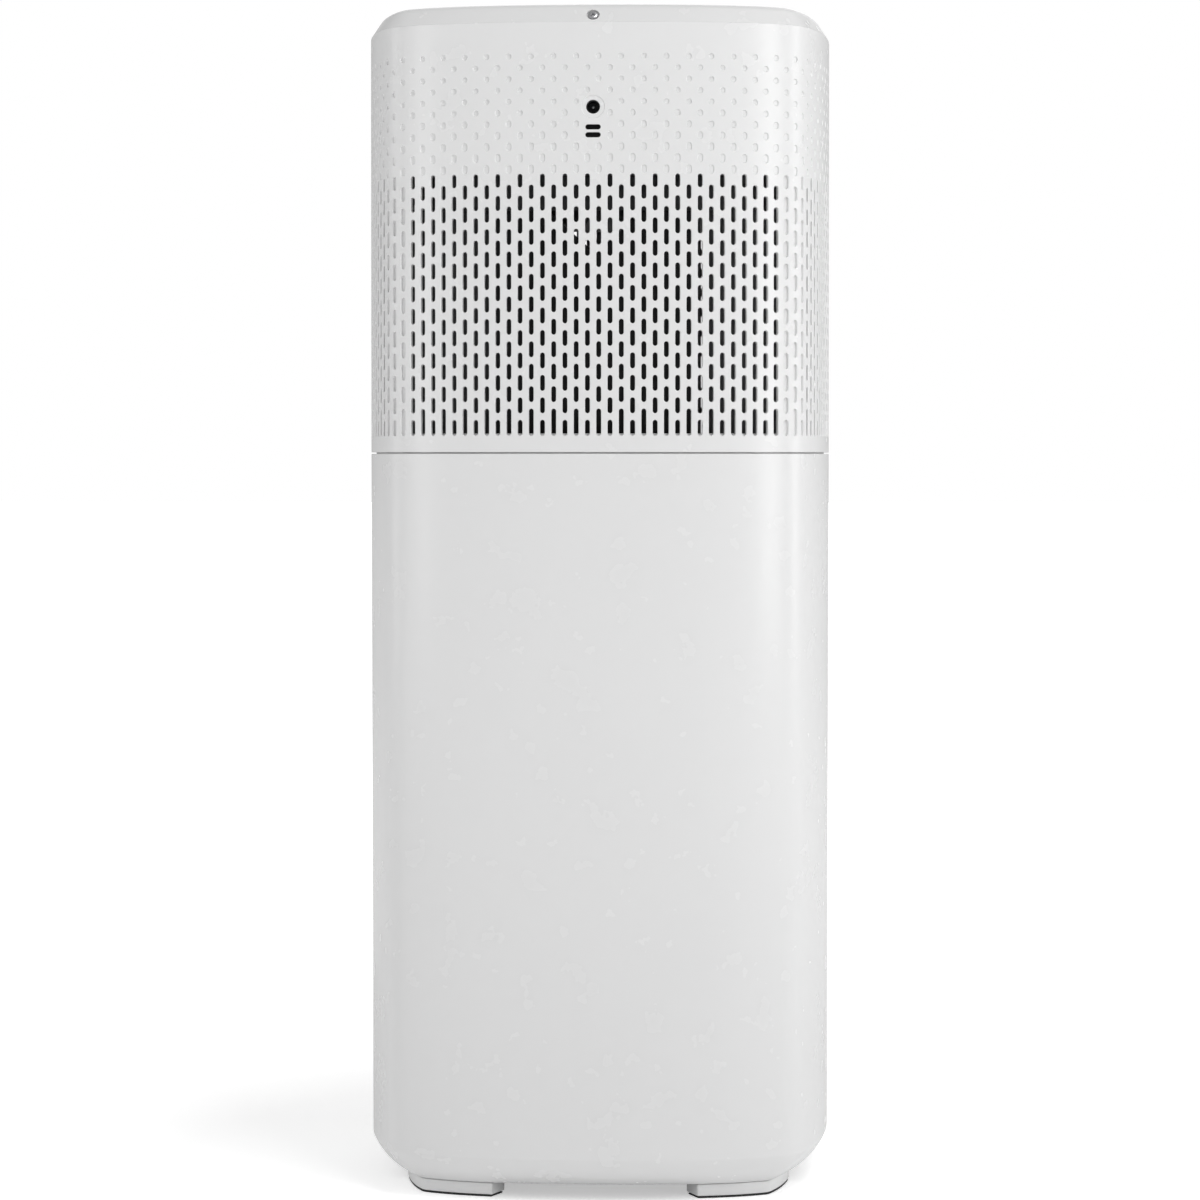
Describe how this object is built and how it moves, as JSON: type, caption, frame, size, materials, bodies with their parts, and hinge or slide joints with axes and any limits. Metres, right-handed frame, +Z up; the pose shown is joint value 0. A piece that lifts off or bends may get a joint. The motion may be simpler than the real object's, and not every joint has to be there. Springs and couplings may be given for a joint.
{
  "type": "air purifier",
  "caption": "Square tower air purifier on corner feet with a slotted head, flat filter behind a pull-off front cover, and a centrifugal fan.",
  "frame": {"origin": "centre of the floor rectangle under the four rubber pads", "axes": "+Z up, +Y out of the front cover, the power inlet faces -Y"},
  "size_m": [0.2604, 0.2604, 0.65],
  "materials": {
    "white_shell": "fine satin moulding",
    "grey_moulding": "matt inner moulding",
    "black_moulding": "matt inner moulding",
    "lens": "polished smoked lens",
    "rubber": "matt",
    "steel": "bright zinc plate",
    "board": "green solder mask",
    "filter_paper": "pleated fibre paper",
    "carbon": "granules in a mesh",
    "foam": "open foam",
    "ribbon": "woven ribbon",
    "cable": "smooth insulation"
  },
  "bodies": {
    "case": {"base_shell": "white_shell", "base_plate": "grey_moulding", "foot_rear_left": "white_shell", "foot_rear_right": "white_shell", "foot_front_right": "white_shell", "foot_front_left": "white_shell", "foot_pad_rear_left": "rubber", "foot_pad_rear_right": "rubber", "foot_pad_front_right": "rubber", "foot_pad_front_left": "rubber", "foot_screw_rear_left": "steel", "foot_screw_rear_right": "steel", "foot_screw_front_right": "steel", "foot_screw_front_left": "steel", "head_shell": "white_shell", "top_cap": "white_shell", "rear_screw": "steel", "top_panel": "white_shell", "display_lens": "lens", "control_board": "board", "display_module": "black_moulding", "board_rack": "grey_moulding", "dc_jack": "black_moulding", "jack_pin": "steel", "air_sensor": "black_moulding", "deck_plate": "grey_moulding", "outlet_chimney": "black_moulding", "baffle_rear_left": "grey_moulding", "baffle_rear_right": "grey_moulding", "baffle_front_right": "grey_moulding", "baffle_front_left": "grey_moulding", "ceiling_tray": "grey_moulding", "fan_scroll": "black_moulding", "motor": "steel", "motor_plate": "grey_moulding", "inlet_ring": "grey_moulding", "inlet_guard": "grey_moulding", "filter_bay": "grey_moulding", "keeper_low_left": "steel", "keeper_low_right": "steel", "keeper_high_left": "steel", "keeper_high_right": "steel", "jack_lead": "cable", "motor_lead": "cable"},
    "fan_wheel": {"impeller": "grey_moulding", "motor_shaft": "steel", "hub_nut": "steel"},
    "power_button": {"button_power": "white_shell"},
    "speed_button": {"button_speed": "white_shell"},
    "cover": {"front_cover": "white_shell", "cover_magnet_low_left": "steel", "cover_magnet_low_right": "steel", "cover_magnet_high_left": "steel", "cover_magnet_high_right": "steel"},
    "filter": {"filter_frame": "filter_paper", "filter_media": "filter_paper", "carbon_layer": "carbon", "prefilter": "grey_moulding", "filter_gasket": "foam", "pull_tab": "ribbon"}
  },
  "joints": [
    {"name": "fan_spin", "type": "hinge", "parent": "case", "child": "fan_wheel", "pos_m": [0, 0, 0.235], "axis": [0, 1, 0], "continuous": true},
    {"name": "power_press", "type": "slide", "parent": "case", "child": "power_button", "axis": [0, 0, -1], "range_m": [0, 0.0012], "stiffness_N_per_m": 400},
    {"name": "speed_press", "type": "slide", "parent": "case", "child": "speed_button", "axis": [0, 0, -1], "range_m": [0, 0.0012], "stiffness_N_per_m": 400},
    {"name": "cover_pull", "type": "slide", "parent": "case", "child": "cover", "axis": [0, 1, 0], "range_m": [0, 0.25]},
    {"name": "filter_pull", "type": "slide", "parent": "case", "child": "filter", "axis": [0, 1, 0], "range_m": [0, 0.16]}
  ],
  "couplings": [
    {"joint": "filter_pull", "follows": "cover_pull", "ratio": 0.6}
  ]
}
